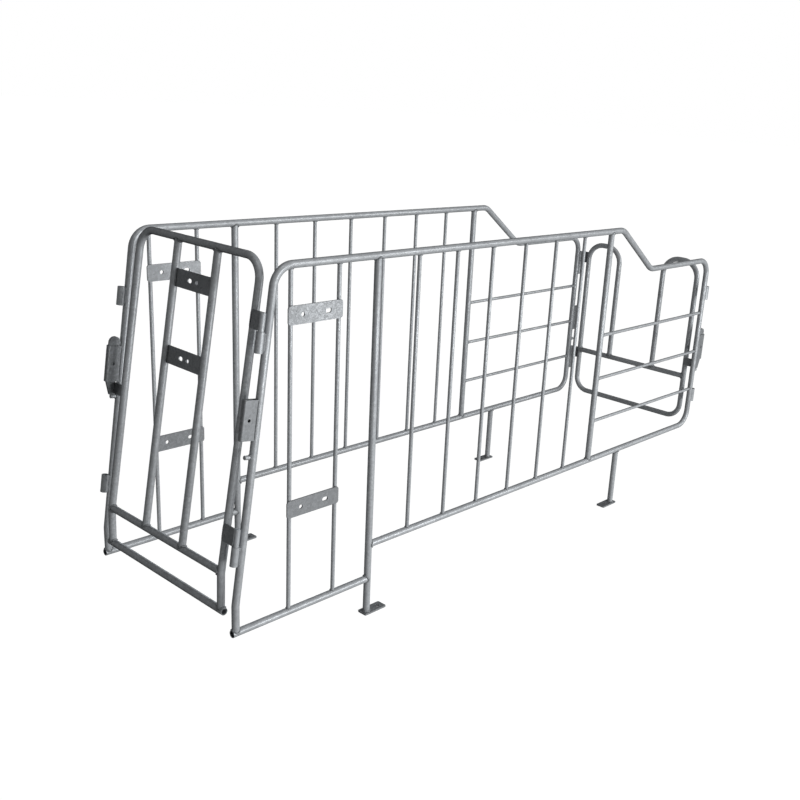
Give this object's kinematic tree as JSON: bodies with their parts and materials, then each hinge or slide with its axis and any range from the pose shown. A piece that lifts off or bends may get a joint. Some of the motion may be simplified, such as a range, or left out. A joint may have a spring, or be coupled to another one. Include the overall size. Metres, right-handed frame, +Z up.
{
  "type": "sow gestation stall",
  "caption": "Galvanised gestation stall for a sow: barred side panels on bolt-down feet, with lift-off hinged gates held by drop latches at the rear and the front",
  "frame": {"origin": "on the floor, at the middle of the stall's length and width", "axes": "+X towards the front gate, where the sow eats, +Y to the sow's left, +Z up"},
  "size_m": [2.4005, 0.685, 1.111],
  "materials": {
    "galvanised_pipe": "hot-dip galvanised, dull spangle",
    "galvanised_bar": "hot-dip galvanised, dull",
    "galvanised_plate": "hot-dip galvanised, fine spangle"
  },
  "bodies": {
    "stall": {"right_frame_pipe": "galvanised_pipe", "right_rear_leg": "galvanised_pipe", "right_middle_post": "galvanised_pipe", "right_front_leg": "galvanised_pipe", "right_rear_rail": "galvanised_pipe", "right_grid_bars": "galvanised_bar", "right_nose_bars": "galvanised_bar", "right_brackets": "galvanised_plate", "right_rear_foot": "galvanised_plate", "right_front_foot": "galvanised_plate", "right_rear_sockets": "galvanised_pipe", "right_front_sockets": "galvanised_pipe", "right_rear_latch_box": "galvanised_plate", "right_front_latch_box": "galvanised_plate", "right_latch_stops": "galvanised_bar", "left_frame_pipe": "galvanised_pipe", "left_rear_leg": "galvanised_pipe", "left_middle_post": "galvanised_pipe", "left_front_leg": "galvanised_pipe", "left_rear_rail": "galvanised_pipe", "left_grid_bars": "galvanised_bar", "left_nose_bars": "galvanised_bar", "left_brackets": "galvanised_plate", "left_rear_foot": "galvanised_plate", "left_front_foot": "galvanised_plate", "left_rear_sockets": "galvanised_pipe", "left_front_sockets": "galvanised_pipe", "left_rear_latch_box": "galvanised_plate", "left_front_latch_box": "galvanised_plate", "left_latch_stops": "galvanised_bar"},
    "rear_gate": {"rear_gate_frame": "galvanised_pipe", "rear_gate_low_bar": "galvanised_pipe", "rear_gate_cross_bar": "galvanised_pipe", "rear_gate_inner_bars": "galvanised_pipe", "rear_gate_brackets": "galvanised_plate", "rear_gate_hinge_pins": "galvanised_bar", "rear_gate_hinge_plates": "galvanised_plate", "rear_gate_catch": "galvanised_plate"},
    "front_gate": {"front_gate_frame": "galvanised_pipe", "front_gate_mid_bar": "galvanised_pipe", "front_gate_hinge_pins": "galvanised_bar", "front_gate_hinge_plates": "galvanised_plate", "front_gate_catch": "galvanised_plate"},
    "rear_drop": {"rear_drop_plate": "galvanised_plate"},
    "front_drop": {"front_drop_plate": "galvanised_plate"}
  },
  "joints": [
    {"name": "rear_gate_swing", "type": "hinge", "parent": "stall", "child": "rear_gate", "pos_m": [-1.20019, -0.325, 0.19808], "axis": [0.1426, 0, 0.9898], "range_deg": [0, 150]},
    {"name": "front_gate_swing", "type": "hinge", "parent": "stall", "child": "front_gate", "pos_m": [1.17179, 0.325, 0], "axis": [0, 0, 1], "range_deg": [0, 150]},
    {"name": "rear_drop_lift", "type": "slide", "parent": "stall", "child": "rear_drop", "axis": [0.1426, 0, 0.9898], "range_m": [0, 0.045]},
    {"name": "front_drop_lift", "type": "slide", "parent": "stall", "child": "front_drop", "axis": [0, 0, 1], "range_m": [0, 0.045]}
  ]
}
